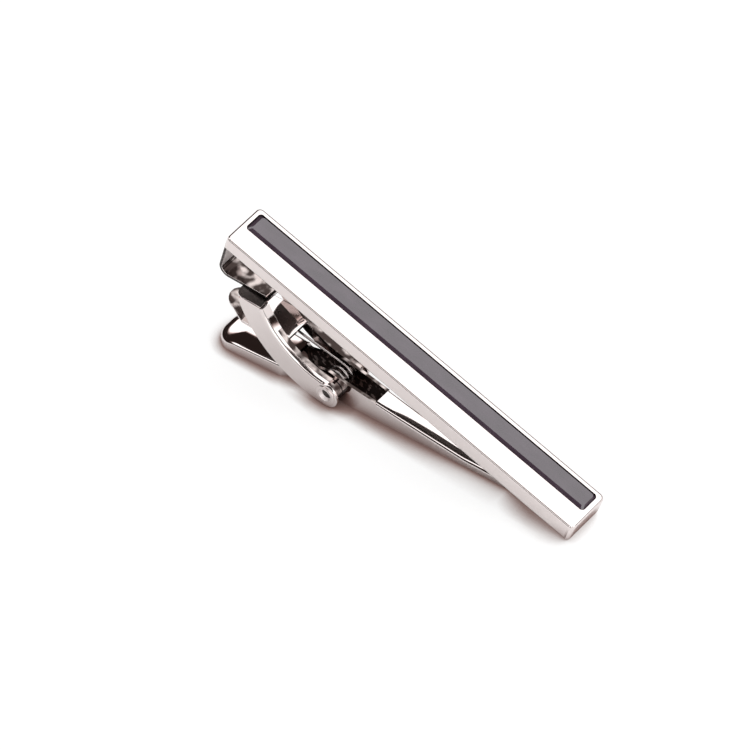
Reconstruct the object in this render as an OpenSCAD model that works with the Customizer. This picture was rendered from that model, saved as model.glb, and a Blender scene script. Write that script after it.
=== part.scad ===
// Tie clip lying on a table: the low end of the front bar and the whole back clip touch the table.
// Lengths are millimetres. X runs along the clip, Y across it, Z up. Side views are drawn with X to the
// right and Z up, measured from the bar's low corner, and every piece is then moved to the middle.

/* [Front bar] */
// Length of the bar along its top face
bar_l = 58; // [52:0.5:66]
// Width of the bar
bar_w = 7; // [6.9:0.1:8]
// Thickness at the end that touches the table
bar_t = 3.3; // [2.9:0.1:4]
// Thickness at the high end
bar_t_high = 2.45; // [2.2:0.05:3]
// Slope of the top face above the table, in degrees
bar_tilt = 18.48; // [18:0.02:19.2]
// Corner radius of the bar seen from above
bar_corner_r = 0.75; // [0.3:0.05:1.5]

/* [Inlay] */
// Width of the recess for the stone
recess_w = 3.15; // [2.2:0.05:3.3]
// Bare metal beside the recess on its broad side
recess_margin = 3.05; // [2.9:0.05:3.4]
// Bare metal at each end of the recess
recess_end = 0.8; // [0.6:0.05:3]
// Depth of the recess
recess_d = 1.0; // [0.8:0.05:1.3]
// Corner radius of the recess
recess_corner_r = 0.5; // [0.2:0.05:0.9]
// Gap all round between the stone and the recess
stone_gap = 0.03; // [0.01:0.01:0.08]
// Thickness of the cement under the stone
cement_t = 0.1; // [0.05:0.01:0.15]
// Width of the stone's bevel on the broad metal side
bevel_near = 0.6; // [0.2:0.05:0.9]
// Width of the stone's bevel on the narrow metal side
bevel_far = 0.25; // [0.1:0.05:0.6]
// Width of the stone's bevel at the high end
bevel_high = 0.55; // [0.2:0.05:0.9]
// Width of the stone's bevel at the low end
bevel_low = 0.35; // [0.1:0.05:0.9]
// How far the bevels drop from the flat top of the stone
bevel_drop = 0.3; // [0.1:0.05:0.5]

/* [Clasp arm] */
// Thickness of the arm's sheet
arm_sheet = 0.4; // [0.35:0.01:0.45]
// Width over the two side plates
arm_w = 6.8; // [6.7:0.05:6.8]
// Distance from the bar's low corner to the pivot
pivot_reach = 38.7; // [38.2:0.1:39.2]
// Gap under the pivot eye
eye_ground = 0.05; // [0.02:0.01:0.1]
// Radius of the round pivot eye
eye_r = 1.9; // [1.88:0.01:1.95]
// Half the width of the side plate's curved band
band_half = 1.86; // [1.8:0.01:1.87]
// Middle radius of the curved band
arc_r = 13.75; // [13.5:0.05:14]
// Lean of the line from the pivot to the band's centre, in degrees
arc_lean = 4.6; // [4:0.1:5.2]
// Height of the top web above the table
web_z = 11.7; // [11.5:0.05:11.9]
// Width of the lip along the concave edge, over the side plate's thickness
lip_w = 1.6; // [1.5:0.01:1.62]
// Angle round the band's centre by which the lip stops short of the pivot
lip_stop = 3; // [2:0.5:6]
// How far the web's round end stands out past the side plates
web_nose = 0.4; // [0.2:0.05:0.8]
// Corner radius of the web's round end
web_corner_r = 1.2; // [0.5:0.1:2]
// Height of the finger tab's top face above the table
tab_z = 6.75; // [6.6:0.05:6.9]
// Gap between the finger tab and each outer face of the arm
tab_inset = 0.35; // [0.3:0.01:0.37]
// How far the finger tab's tip lies behind the pivot
tab_reach = 17.8; // [17.4:0.1:18.2]
// Distance behind the pivot at which the finger tab starts to narrow
tab_shoulder = 13.8; // [13:0.1:14.2]
// Radius of the finger tab's tip
tab_tip_r = 1.85; // [1.5:0.05:2.2]
// Radius of the finger tab's upward curve
tab_curl_r = 16; // [12:0.5:30]
// Radius of the collar drawn inwards round each rivet hole
collar_r = 1.45; // [1.3:0.05:1.5]

/* [Riser bracket] */
// Width of the bracket's strip
bracket_w = 3.4; // [3:0.1:4]
// Thickness of the bracket's strip
bracket_t = 0.45; // [0.4:0.01:0.5]
// Inner radius of the bracket's two bends
bracket_bend_r = 1.0; // [0.8:0.05:1.2]
// Lean of the bracket's riser from the vertical, in degrees
bracket_lean = 15.3; // [13:0.1:17]
// Distance from the pivot back to the centre of the lower bend
bracket_reach = 16.75; // [16.5:0.05:17]
// Distance from the pivot back to the end of the lower leg
bracket_leg_end = 10.6; // [10.4:0.1:12]
// Length of the upper leg under the bar
bracket_top_l = 3.6; // [3:0.1:5]

/* [Back clip] */
// Thickness of the back clip's sheet
jaw_sheet = 0.4; // [0.35:0.01:0.45]
// Distance from the pivot back to the end of the tail
tail_reach = 18.7; // [18.2:0.1:19]
// Half width of the tail at its round corners
tail_half = 3.3; // [3.1:0.02:3.34]
// Corner radius of the tail
tail_corner_r = 2.7; // [2:0.1:2.9]
// Half width of the tail where it meets the ears
heel_half = 2.8; // [2.6:0.02:2.82]
// Distance from the pivot back to the heel, where the tail meets the ears
heel_reach = 7.6; // [7.4:0.1:7.8]
// Height of the tail at its end
tail_h = 1.5; // [1.4:0.05:1.6]
// Height of the heel
heel_h = 1.9; // [1.8:0.05:2]
// Half width over the ears
ear_half = 1.62; // [1.6:0.01:1.66]
// Distance from the pivot back to the foot of the ears
ear_reach = 6.0; // [5.8:0.1:6.2]
// Height of the ears at their foot
ear_foot_h = 2.9; // [2.7:0.05:3.1]
// Height of the ears at their peak
ear_h = 4.4; // [4.3:0.05:4.6]
// Distance from the pivot back to the peak of the ears
ear_peak = 0.7; // [0.4:0.1:1]
// Distance from the pivot forward to the end of the ears
ear_front = 2.1; // [1.9:0.1:2.4]
// Height of the walls at the front of the ears
ear_front_h = 3.9; // [3.8:0.05:4]
// Distance from the pivot forward to the start of the beak
beak_start = 6.7; // [6.4:0.1:7]
// Height of the beak at its start
beak_start_h = 3.15; // [3:0.05:3.3]
// Distance from the pivot forward to the flat stretch of the beak
beak_flat = 20.7; // [20:0.1:22]
// Height of the beak's flat stretch
beak_h = 1.35; // [1.3:0.01:1.4]
// Length of the beak's tip that bends up to the bar
tip_l = 3.0; // [2.5:0.1:4]
// Distance from the bar's low corner to the beak's tip
tip_x = 4.6; // [4.5:0.05:5]
// Half width of the beak at its tip
tip_half = 0.6; // [0.55:0.01:0.8]
// Gap between the closed tip and the bar
tip_gap = 0.05; // [0.03:0.01:0.1]
// Distance from the heel forward to the window over the spring
window_back = 0.3; // [0.2:0.05:0.5]
// Corner radius of the window over the spring
window_corner_r = 0.3; // [0.2:0.05:1.1]

/* [Rivet] */
// Radius of the rivet's shank
rivet_r = 0.6; // [0.55:0.01:0.62]
// Radius of the rivet's heads
rivet_head_r = 1.5; // [1.4:0.05:1.6]
// Radius of the spread end inside the near side plate
rivet_spread_r = 1.1; // [1.05:0.01:1.2]
// Radius of the dish in the spread end
rivet_dish_r = 0.95; // [0.8:0.01:1]
// Running gap between the shank and the back clip
rivet_run = 0.05; // [0.03:0.01:0.08]
// Seat gap between the shank and the arm
rivet_seat = 0.02; // [0.01:0.01:0.03]

/* [Torsion spring] */
// Diameter of the wire
wire_d = 0.36; // [0.34:0.01:0.37]
// Middle radius of the coil
coil_r = 1.45; // [1.4:0.01:1.5]
// Step from turn to turn
coil_pitch = 0.78; // [0.78:0.005:0.785]
// Whole turns before the last half turn
coil_turns = 2; // [1:1:2]
// Distance from the pivot back to the end of the upper leg
upper_leg_reach = 9.6; // [9:0.1:10.5]
// Distance from the pivot back to the end of the lower leg
lower_leg_reach = 7.9; // [7.7:0.1:8.4]

/* [Hidden] */
round_fn = 96;
small_fn = 48;
// Overrun of every cut past the face that it opens
over = 1;
// Lap of two stretches of one strip, so that they are one solid
lap = 0.02;
// Contact gap left where the spring's ends meet what they press on
touch = 0.03;
// How far the coil hangs back from and above the pivot, because it is loose on the shank
coil_back = 0.28;
coil_lift = 0.32;
// Reach of the short bend before each leg's straight end
leg_bend_r = 0.3;
// Gap between the ears and the collars
collar_gap = 0.08;
// Depth of the dish in the rivet and its radius at the bottom
dish_bottom_r = 0.4;
// Steps in each round corner of an outline
arc_steps = 12;

// Bar
bar_taper = atan((bar_t - bar_t_high) / bar_l);
under_angle = bar_tilt + bar_taper;
bar_half = bar_w / 2;
bar_right = bar_t * sin(bar_tilt);
// Recess, from the bar's broad metal side at -Y
recess_y = -bar_half + recess_margin;
recess_l = bar_l - 2 * recess_end;

// Arm: the band's centre, its two radii and the pivot
arm_half = arm_w / 2;
arm_inner_half = arm_half - arm_sheet;
pivot = [-pivot_reach, eye_r + eye_ground];
arc_c = pivot + arc_r * [sin(arc_lean), cos(arc_lean)];
band_in = arc_r - band_half;
band_out = arc_r + band_half;
web_drop = arc_c[1] - web_z;
web_right = arc_c[0] - sqrt(band_in * band_in - web_drop * web_drop) - arm_sheet / 2;
web_left = arc_c[0] - sqrt(band_out * band_out - web_drop * web_drop) - web_nose;
tab_drop = arc_c[1] - tab_z;
tab_right = arc_c[0] - sqrt(band_in * band_in - tab_drop * tab_drop) - arm_sheet / 2;
tab_half = arm_half - tab_inset;
tab_tip = -pivot_reach - tab_reach;
tab_turn = -pivot_reach - tab_shoulder;

// Bracket: lower bend's centre, and the length of riser that reaches the bar
bend_out = bracket_bend_r + bracket_t;
low_c = [-pivot_reach - bracket_reach, web_z + bend_out];
low_depth = -(low_c[0] * sin(under_angle) + low_c[1] * cos(under_angle));
riser_l = (low_depth - bend_out) / cos(bracket_lean - under_angle);
high_c = low_c + riser_l * [sin(bracket_lean), cos(bracket_lean)];

// Back clip
tail_x = -pivot_reach - tail_reach;
heel_x = -pivot_reach - heel_reach;
ear_x = -pivot_reach - ear_reach;
ear_front_x = -pivot_reach + ear_front;
beak_x = -pivot_reach + beak_start;
flat_x = -pivot_reach + beak_flat;
tip_top = tip_x * tan(under_angle) - tip_gap / cos(under_angle);
ear_inner_half = ear_half - jaw_sheet;

// Middle of the whole object along X
mid_x = (tail_x + bar_right) / 2;

// Coil
coil_c = pivot + [-coil_back, coil_lift];

function arc_points(c, r, from, to, n = arc_steps) =
    [for (i = [0:n]) let (a = from + (to - from) * i / n) c + r * [cos(a), sin(a)]];
function mirrored(pts) = concat(pts, [for (i = [len(pts) - 1:-1:0]) [pts[i][0], -pts[i][1]]]);

// A shape drawn in the side view, as a slab between two places across the clip
module slab(y0, y1) {
    translate([0, y1, 0]) rotate([90, 0, 0]) linear_extrude(y1 - y0) children();
}

// The same slab on both sides of the middle
module both_sides() {
    children();
    mirror([0, 1, 0]) children();
}

// A disc or shank across the clip at the pivot
module cross_pin(r, y0, y1, fn = small_fn) {
    translate([pivot[0], y1, pivot[1]]) rotate([90, 0, 0]) cylinder(r = r, h = y1 - y0, $fn = fn);
}

module middle() {
    translate([-mid_x, 0, 0]) children();
}

// A flat plate with four round corners, from [x0, y0] to [x1, y1]
module round_rect(x0, y0, x1, y1, r) {
    translate([x0 + r, y0]) square([x1 - x0 - 2 * r, y1 - y0]);
    translate([x0, y0 + r]) square([x1 - x0, y1 - y0 - 2 * r]);
    for (x = [x0 + r, x1 - r], y = [y0 + r, y1 - r])
        translate([x, y]) circle(r = r, $fn = small_fn);
}

// The bar's own frame: X along its top from the low end, Z square to the top, which is at zero
module on_bar() {
    middle() translate([bar_right, 0, bar_t * cos(bar_tilt)]) rotate([0, bar_tilt, 0]) children();
}

module front_bar() {
    color([0.86, 0.83, 0.83]) on_bar() difference() {
        intersection() {
            translate([0, 0, -bar_t - over]) linear_extrude(bar_t + over)
                round_rect(-bar_l, -bar_half, 0, bar_half, bar_corner_r);
            slab(-bar_half - over, bar_half + over)
                polygon([[0, 0], [-bar_l, 0], [-bar_l, -bar_t_high], [0, -bar_t]]);
        }
        translate([0, 0, -recess_d]) linear_extrude(recess_d + over)
            round_rect(-bar_l + recess_end, recess_y, -recess_end, recess_y + recess_w, recess_corner_r);
    }
}

// One bevel of the stone: a cut that falls outwards from the edge of the flat top
module bevel_cut(w, l) {
    rotate([0, atan(bevel_drop / w), 0]) translate([0, -l / 2, 0]) cube([2 * w + over, l, over]);
}

module stone_inlay() {
    x0 = -bar_l + recess_end + stone_gap;
    x1 = -recess_end - stone_gap;
    y0 = recess_y + stone_gap;
    y1 = recess_y + recess_w - stone_gap;
    color([0.2, 0.17, 0.19]) on_bar() difference() {
        translate([0, 0, -recess_d + cement_t]) linear_extrude(recess_d - cement_t)
            round_rect(x0, y0, x1, y1, recess_corner_r - stone_gap);
        translate([x1 - bevel_low, (y0 + y1) / 2, 0]) bevel_cut(bevel_low, recess_w + over);
        translate([x0 + bevel_high, (y0 + y1) / 2, 0]) rotate([0, 0, 180])
            bevel_cut(bevel_high, recess_w + over);
        translate([(x0 + x1) / 2, y1 - bevel_far, 0]) rotate([0, 0, 90])
            bevel_cut(bevel_far, recess_l + over);
        translate([(x0 + x1) / 2, y0 + bevel_near, 0]) rotate([0, 0, -90])
            bevel_cut(bevel_near, recess_l + over);
    }
}

module inlay_adhesive() {
    color([0.75, 0.7, 0.55]) on_bar() translate([0, 0, -recess_d]) linear_extrude(cement_t)
        round_rect(-bar_l + recess_end + stone_gap, recess_y + stone_gap, -recess_end - stone_gap,
                   recess_y + recess_w - stone_gap, recess_corner_r - stone_gap);
}

// A bent stretch of the bracket's strip between two directions, in degrees
module bend(c, from, to) {
    wedge = 2 * bend_out;
    translate(c) intersection() {
        difference() {
            circle(r = bend_out, $fn = round_fn);
            circle(r = bracket_bend_r, $fn = round_fn);
        }
        polygon([[0, 0], for (i = [0:4]) let (a = from + (to - from) * i / 4) wedge * [cos(a), sin(a)]]);
    }
}

module riser_bracket() {
    color([0.8, 0.77, 0.77]) middle() slab(-bracket_w / 2, bracket_w / 2) {
        translate([low_c[0] - lap, web_z])
            square([-pivot_reach - bracket_leg_end - low_c[0] + lap, bracket_t]);
        bend(low_c, 180 - bracket_lean, 270);
        translate(low_c) rotate(-bracket_lean) translate([-bend_out, -lap])
            square([bracket_t, riser_l + 2 * lap]);
        bend(high_c, 90 - under_angle, 180 - bracket_lean);
        translate(high_c) rotate(-under_angle) translate([-lap, bracket_bend_r])
            square([bracket_top_l + lap, bracket_t]);
    }
}

// The curved band of the side plate, between two radii, from near the pivot up to the web
module band(r_in, r_out, stop = 0) {
    reach = 2 * band_out;
    intersection() {
        translate(arc_c) difference() {
            circle(r = r_out, $fn = round_fn);
            circle(r = r_in, $fn = round_fn);
        }
        translate(arc_c) rotate(-arc_lean - stop) translate([-reach, -reach]) square([reach, 2 * reach]);
        translate([arc_c[0] - reach, web_z - reach]) square([reach * 2, reach]);
    }
}

// The finger tab seen from above
module tab_plan() {
    tip_c = tab_tip + tab_tip_r;
    run = tip_c - tab_turn;
    side = atan((tab_half - tab_tip_r) / -run);
    polygon(mirrored(concat([[tab_right, tab_half], [tab_turn, tab_half]],
                            arc_points([tip_c, 0], tab_tip_r, 90 + side, 180))));
}

// The finger tab seen from the side: flat between the side plates, then curving up
module tab_side() {
    curl_c = [tab_turn, tab_z + tab_curl_r];
    translate([tab_turn, tab_z - arm_sheet]) square([tab_right - tab_turn, arm_sheet]);
    intersection() {
        translate(curl_c) difference() {
            circle(r = tab_curl_r + arm_sheet, $fn = round_fn);
            circle(r = tab_curl_r, $fn = round_fn);
        }
        translate([tab_tip - over, tab_z - arm_sheet]) square([tab_turn - tab_tip + over, tab_curl_r]);
    }
}

module clasp_arm() {
    collar_end = ear_half + collar_gap;
    color([0.84, 0.8, 0.8]) middle() {
        difference() {
            union() {
                both_sides() {
                    slab(arm_inner_half, arm_half) {
                        band(band_in, band_out);
                        translate(pivot) circle(r = eye_r, $fn = round_fn);
                    }
                    slab(arm_half - lip_w, arm_half) band(band_in, band_in + arm_sheet, lip_stop);
                    cross_pin(collar_r, collar_end, arm_half - arm_sheet / 2);
                }
                translate([0, 0, web_z - arm_sheet]) linear_extrude(arm_sheet) difference() {
                    round_rect(web_left, -arm_half, web_right + web_corner_r, arm_half, web_corner_r);
                    translate([web_right, -arm_w]) square([arm_w, 2 * arm_w]);
                }
                intersection() {
                    slab(-tab_half, tab_half) tab_side();
                    linear_extrude(web_z) tab_plan();
                }
            }
            cross_pin(rivet_r + rivet_seat, -arm_w, arm_w);
            cross_pin(rivet_spread_r + rivet_seat, -arm_w, -arm_inner_half);
        }
    }
}

// The back clip seen from above, drawn in by the given amount
module jaw_plan(inset) {
    tail_r = tail_corner_r - inset;
    polygon(mirrored(concat(
        arc_points([tail_x + tail_corner_r, tail_half - tail_corner_r], tail_r, 180, 90),
        [[heel_x, heel_half - inset], [ear_x, ear_half - inset], [ear_front_x, ear_half - inset]],
        inset > 0 ? [[-tip_x - tip_l, tip_half - inset]]
                  : arc_points([-tip_x - tip_half, 0], tip_half, 90, 0))));
}

// The back clip seen from the side, lowered by the given amount
module jaw_side(drop) {
    polygon([[tail_x, -over], [tail_x, tail_h - drop], [heel_x, heel_h - drop],
             [ear_x, ear_foot_h - drop], [-pivot_reach - ear_peak, ear_h - drop],
             [ear_front_x, ear_front_h - drop], [beak_x, beak_start_h - drop], [flat_x, beak_h - drop],
             [-tip_x - tip_l, beak_h - drop], [-tip_x, tip_top - drop], [-tip_x, -over]]);
}

module clip_jaw() {
    color([0.8, 0.77, 0.76]) middle() difference() {
        intersection() {
            linear_extrude(ear_h + over) jaw_plan(0);
            slab(-tail_half, tail_half) jaw_side(0);
        }
        intersection() {
            translate([0, 0, -over]) linear_extrude(ear_h + over) jaw_plan(jaw_sheet);
            slab(-tail_half, tail_half) jaw_side(jaw_sheet);
        }
        translate([0, 0, -over]) linear_extrude(ear_h + 2 * over)
            round_rect(heel_x + window_back, -ear_inner_half, beak_x, ear_inner_half, window_corner_r);
        cross_pin(rivet_r + rivet_run, -arm_w, arm_w);
    }
}

module pivot_rivet() {
    head_t = bar_half - arm_half;
    dish_d = head_t + arm_sheet;
    color([0.88, 0.85, 0.85]) middle() difference() {
        union() {
            cross_pin(rivet_r, -arm_half, arm_half);
            cross_pin(rivet_head_r, arm_half, bar_half);
            cross_pin(rivet_head_r, -bar_half, -arm_half);
            cross_pin(rivet_spread_r, -arm_half, -arm_inner_half);
        }
        translate([pivot[0], -bar_half, pivot[1]]) rotate([-90, 0, 0])
            cylinder(r1 = rivet_dish_r, r2 = dish_bottom_r, h = dish_d, $fn = small_fn);
    }
}

// The spring's wire, as points in the side view with a third number across the clip: up from the lower
// leg's end, along the leg to the bottom of the coil, round it, and from its top to the upper leg's end
function lerp(a, b, s) = a + (b - a) * s;
function unit(v) = v / norm(v);
function corner(from, at, to) =
    let (a = at + leg_bend_r * unit(from - at), b = at + leg_bend_r * unit(to - at))
    [a, (a + 2 * at + b) / 4, b];
leg_stub = wire_d + leg_bend_r;
lower_x = -pivot_reach - lower_leg_reach;
lower_z = lerp(heel_h, tail_h, (lower_leg_reach - heel_reach) / (tail_reach - heel_reach)) + touch;
upper_x = -pivot_reach - upper_leg_reach;
upper_z = tab_z - arm_sheet - touch;
lower_knee = [lower_x, lower_z + leg_stub] - coil_c;
upper_knee = [upper_x, upper_z - leg_stub] - coil_c;
lower_rise = atan(lower_knee[1] / -lower_knee[0]) + asin(coil_r / norm(lower_knee));
upper_rise = atan(upper_knee[1] / -upper_knee[0]) - asin(coil_r / norm(upper_knee));
coil_from = 270 - lower_rise;
coil_to = 360 * (coil_turns + 1) + 90 - upper_rise;
coil_rings = 8 * (coil_turns + 1);
coil_y = coil_pitch * (coil_to - coil_from) / 360 / 2;
function coil_point(i) =
    let (a = lerp(coil_from, coil_to, i / coil_rings))
    [coil_c[0] + coil_r * cos(a), lerp(-coil_y, coil_y, i / coil_rings), coil_c[1] + coil_r * sin(a)];
coil_path = [for (i = [0:coil_rings]) coil_point(i)];
lower_end = [lower_x, -coil_y, lower_z];
upper_end = [upper_x, coil_y, upper_z];
wire_path = concat([lower_end], corner(lower_end, lower_end + [0, 0, leg_stub], coil_path[0]),
                   coil_path,
                   corner(coil_path[coil_rings], upper_end - [0, 0, leg_stub], upper_end), [upper_end]);

// The least gap between two stretches of the coil that are half a turn or more apart along the wire
coil_gap = min([for (i = [0:coil_rings], j = [i + 5:1:coil_rings])
                norm(coil_path[i] - coil_path[j])]) - wire_d;
echo(coil_gap = coil_gap);

wire_sides = 6;
function wire_ring(i) =
    let (n = len(wire_path) - 1,
         along = unit(wire_path[min(i + 1, n)] - wire_path[max(i - 1, 0)]),
         out = unit(cross(along, [0, 1, 0])), up = cross(out, along))
    [for (k = [0:wire_sides - 1]) let (a = 360 * k / wire_sides)
        wire_path[i] + wire_d / 2 * (cos(a) * out + sin(a) * up)];

module torsion_spring() {
    rings = len(wire_path);
    points = [for (i = [0:rings - 1]) each wire_ring(i)];
    first = [for (k = [1:wire_sides - 2]) [0, k, k + 1]];
    start = (rings - 1) * wire_sides;
    last = [for (k = [1:wire_sides - 2]) [start, start + k + 1, start + k]];
    skin = [for (i = [0:rings - 2], k = [0:wire_sides - 1])
        let (a = i * wire_sides + k, b = i * wire_sides + (k + 1) % wire_sides)
        each [[a, a + wire_sides, b], [b, a + wire_sides, b + wire_sides]]];
    color([0.62, 0.58, 0.57]) middle() polyhedron(points, concat(first, skin, last));
}

front_bar();
stone_inlay();
inlay_adhesive();
riser_bracket();
clasp_arm();
clip_jaw();
pivot_rivet();
torsion_spring();
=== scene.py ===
"""A polished tie clip with a dark stone inlay, lying on a white table. Blender units are metres."""
import math

import bmesh
import bpy
from mathutils import Matrix, Vector


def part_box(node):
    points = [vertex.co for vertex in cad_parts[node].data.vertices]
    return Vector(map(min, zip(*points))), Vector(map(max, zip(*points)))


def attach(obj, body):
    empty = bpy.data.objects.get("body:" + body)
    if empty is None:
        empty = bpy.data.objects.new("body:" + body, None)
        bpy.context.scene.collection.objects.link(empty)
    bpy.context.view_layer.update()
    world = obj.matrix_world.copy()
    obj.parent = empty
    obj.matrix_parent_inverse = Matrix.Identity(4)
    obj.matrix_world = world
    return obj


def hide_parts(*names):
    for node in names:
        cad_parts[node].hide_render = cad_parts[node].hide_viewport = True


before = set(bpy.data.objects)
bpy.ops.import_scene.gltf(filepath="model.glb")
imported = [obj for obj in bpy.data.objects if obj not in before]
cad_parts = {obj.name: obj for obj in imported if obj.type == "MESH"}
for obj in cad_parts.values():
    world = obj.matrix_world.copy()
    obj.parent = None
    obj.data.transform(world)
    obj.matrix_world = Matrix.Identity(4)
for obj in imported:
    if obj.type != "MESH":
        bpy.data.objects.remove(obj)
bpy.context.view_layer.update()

bpy.ops.object.select_all(action="DESELECT")
bpy.context.scene.view_settings.view_transform = "Standard"

# The photographer's camera: a long lens looking down on the clip from its front right.
# It aims at a point in the plane of the bar's near side, and is rolled a little.
MM = 0.001
camera_azimuth = math.radians(39.70)
camera_elevation = math.radians(47.22)
camera_roll = math.radians(2.0)
camera_distance = 979 * MM
bar_end_overhang = 1.046 * MM
aim_back, aim_height = 30.21 * MM, 11.36 * MM
bar_near_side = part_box("front_bar")[0].y
bar_low_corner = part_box("front_bar")[1].x - bar_end_overhang
camera_target = Vector((bar_low_corner - aim_back, bar_near_side, aim_height))
look = Vector((-math.sin(camera_azimuth) * math.cos(camera_elevation),
               math.cos(camera_azimuth) * math.cos(camera_elevation),
               -math.sin(camera_elevation)))
level = Vector((math.cos(camera_azimuth), math.sin(camera_azimuth), 0))
upright = level.cross(look)
camera_right = level * math.cos(camera_roll) - upright * math.sin(camera_roll)
camera_up = upright * math.cos(camera_roll) + level * math.sin(camera_roll)
camera_data = bpy.data.cameras.new("camera")
camera_data.sensor_width = 36
camera_data.lens = 372.6
camera = bpy.data.objects.new("camera", camera_data)
bpy.context.scene.collection.objects.link(camera)
turn = Matrix((camera_right, camera_up, -look)).transposed().to_4x4()
camera.matrix_world = Matrix.Translation(camera_target - look * camera_distance) @ turn
bpy.context.scene.camera = camera


def add_node(tree, kind, inputs=(), **settings):
    """One shader node, with its settings, and each input given as a value or as another node's output."""
    node = tree.nodes.new(kind)
    for name, value in settings.items():
        setattr(node, name, value)
    for key, value in dict(inputs).items():
        if isinstance(value, bpy.types.NodeSocket):
            tree.links.new(value, node.inputs[key])
        else:
            node.inputs[key].default_value = value
    return node


# The photographer's white light tent: bright from above the edge of the table upwards, with a white screen
# that reaches lower on the right, warm and dark below, and with the dark hole overhead through which the
# camera looks. The polished metal mirrors all of it. What the camera sees past the table is plain white.
tent = bpy.data.worlds.new("light_tent")
bpy.context.scene.world = tent
tent.use_nodes = True
sky = tent.node_tree
sky.nodes.clear()
up_and_right = (0.35, 0, 1)
screen_gain, screen_slant = 0.6, 1.6
cloth_edge = {"From Min": 0.42, "From Max": 0.54}
hole_at, hole_rim = Vector((0.02, -0.28, 0.95)).normalized(), {"From Min": 0.950, "From Max": 0.915}
glow_range = {"To Min": 0.03, "To Max": 1.6}
dark_tint, white = (0.72, 0.47, 0.42, 1), (1, 1, 1, 1)
direction = add_node(sky, "ShaderNodeTexCoord").outputs["Generated"]
upward = add_node(sky, "ShaderNodeVectorMath", {0: direction, 1: up_and_right}, operation="DOT_PRODUCT")
axes = add_node(sky, "ShaderNodeSeparateXYZ", {0: direction}).outputs
away = add_node(sky, "ShaderNodeMath", {0: axes["Y"], 1: 0.0}, operation="MAXIMUM").outputs[0]
rightward = add_node(sky, "ShaderNodeMath", {0: away, 1: -screen_slant, 2: axes["X"]},
                     operation="MULTIPLY_ADD").outputs[0]
rightward = add_node(sky, "ShaderNodeMath", {0: rightward, 1: 0.0}, operation="MAXIMUM").outputs[0]
above = add_node(sky, "ShaderNodeMath", {0: rightward, 1: screen_gain, 2: upward.outputs["Value"]},
                 operation="MULTIPLY_ADD").outputs[0]
cloth = add_node(sky, "ShaderNodeMapRange", {"Value": above, **cloth_edge},
                 interpolation_type="SMOOTHSTEP").outputs["Result"]
facing = add_node(sky, "ShaderNodeVectorMath", {0: direction, 1: hole_at}, operation="DOT_PRODUCT")
hole = add_node(sky, "ShaderNodeMapRange", {"Value": facing.outputs["Value"], **hole_rim},
                interpolation_type="SMOOTHSTEP").outputs["Result"]
lit = add_node(sky, "ShaderNodeMath", {0: cloth, 1: hole}, operation="MULTIPLY").outputs[0]
glow = add_node(sky, "ShaderNodeMapRange", {"Value": lit, **glow_range}).outputs["Result"]
seen = add_node(sky, "ShaderNodeLightPath").outputs["Is Camera Ray"]
strength = add_node(sky, "ShaderNodeMix", {"Factor": seen, "A": glow, "B": 1.0}).outputs["Result"]
clean = add_node(sky, "ShaderNodeMath", {0: lit, 1: seen}, operation="MAXIMUM").outputs[0]
hue = add_node(sky, "ShaderNodeMix", {0: clean, 6: dark_tint, 7: white}, data_type="RGBA").outputs[2]
fill = add_node(sky, "ShaderNodeBackground", {"Color": hue, "Strength": strength})
add_node(sky, "ShaderNodeOutputWorld", {"Surface": fill.outputs[0]})

# The table: a sheet of smooth white card. Close to the clip a soft warm contact shadow is painted into its colour
# and glow, from how much of the sky the clip hides there, stronger on its near side; it widens towards the bar's low
# end and fades there.
bpy.ops.mesh.primitive_plane_add(size=4, location=(0, 0, 0))
table = bpy.context.active_object
table.name = "table"
card = bpy.data.materials.new("white_card")
card.use_nodes = True
paper = card.node_tree
painted_shadow_lean, painted_shadow_rise = 0.5, 0.9
reach_mirrored = 2.4 * MM
reach_seen = {"From Min": -29 * MM, "From Max": 20 * MM, "To Min": 1.7 * MM, "To Max": 3.9 * MM}
fade_seen = {"From Min": 16 * MM, "From Max": 33 * MM}
fade_mirrored = {"From Min": 26.5 * MM, "From Max": 32 * MM}
fade_gain, shade_range = 0.5, {"From Min": 0.08, "From Max": 0.95}
contact_colour, halo_colour, halo_at = (0.012, 0.008, 0.008, 1), (0.26, 0.165, 0.145, 1), 0.45
pale_range = {"To Min": 0.91, "To Max": 0.26}
lift_seen, lift_mirrored = 0.80, 0.08
path = add_node(paper, "ShaderNodeLightPath")
watched = path.outputs["Is Camera Ray"]
lean = add_node(paper, "ShaderNodeMath", {0: watched, 1: painted_shadow_lean}, operation="MULTIPLY").outputs[0]
painted_shadow_axis = add_node(paper, "ShaderNodeCombineXYZ", {0: 0.0, 1: lean, 2: painted_shadow_rise}).outputs["Vector"]
painted_shadow_axis = add_node(paper, "ShaderNodeVectorMath", {0: painted_shadow_axis}, operation="NORMALIZE").outputs["Vector"]
spot = add_node(paper, "ShaderNodeTexCoord").outputs["Object"]
toward_low_end = add_node(paper, "ShaderNodeSeparateXYZ", {0: spot}).outputs["X"]
wider = add_node(paper, "ShaderNodeMapRange", {"Value": toward_low_end, **reach_seen}).outputs["Result"]
breadth = add_node(paper, "ShaderNodeMix", {"Factor": watched, "A": reach_mirrored, "B": wider}).outputs["Result"]
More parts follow.
